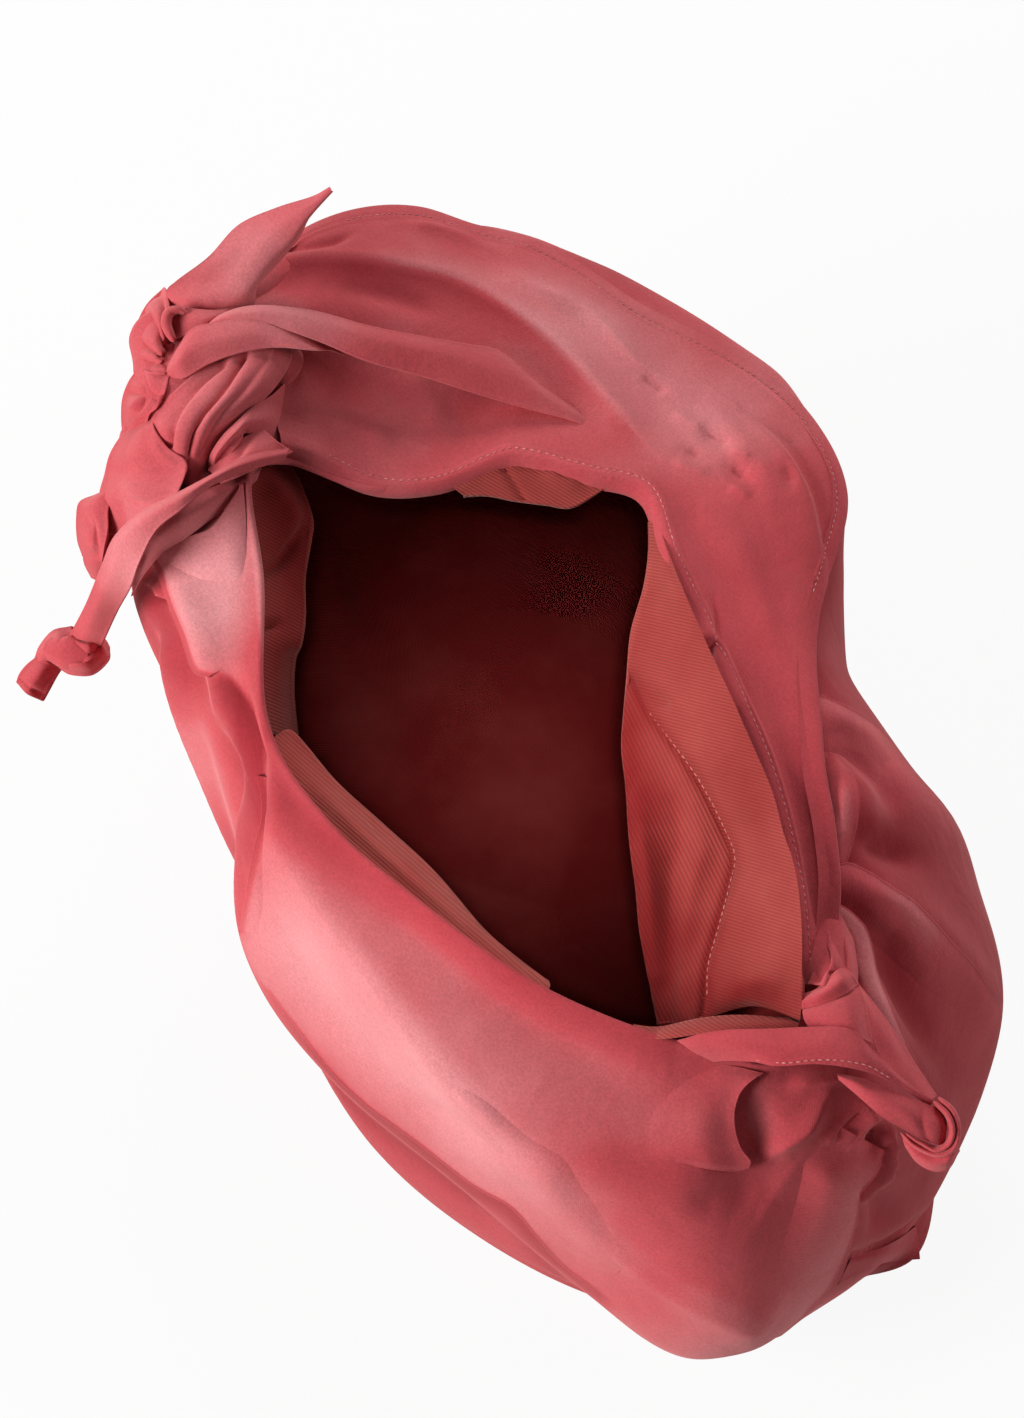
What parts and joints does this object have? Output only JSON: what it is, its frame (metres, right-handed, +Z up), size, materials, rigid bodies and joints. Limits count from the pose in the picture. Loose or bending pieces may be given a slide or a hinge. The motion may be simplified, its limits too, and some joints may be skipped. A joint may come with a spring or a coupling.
{
  "type": "furoshiki bag",
  "caption": "Lined soft cloth pouch gathered and knotted at both ends, its wide handle band fallen back over the far shoulder, with narrow ties hanging from the knots.",
  "frame": {"origin": "middle of the flat base, on the surface the bag stands on", "axes": "+Z up out of the mouth, +X along the bag towards the right knot, +Y towards the shoulder under the handle band"},
  "size_m": [0.4807, 0.3472, 0.275],
  "materials": {
    "rose_cloth": "sueded, soft matt pile",
    "coral_lining": "plain cotton twill"
  },
  "bodies": {
    "root": {"outer_cloth": "rose_cloth", "lining": "coral_lining", "handle_band": "rose_cloth", "left_knot": "rose_cloth", "tie_strap": "rose_cloth", "right_knot": "rose_cloth", "right_tie": "rose_cloth"}
  },
  "joints": []
}
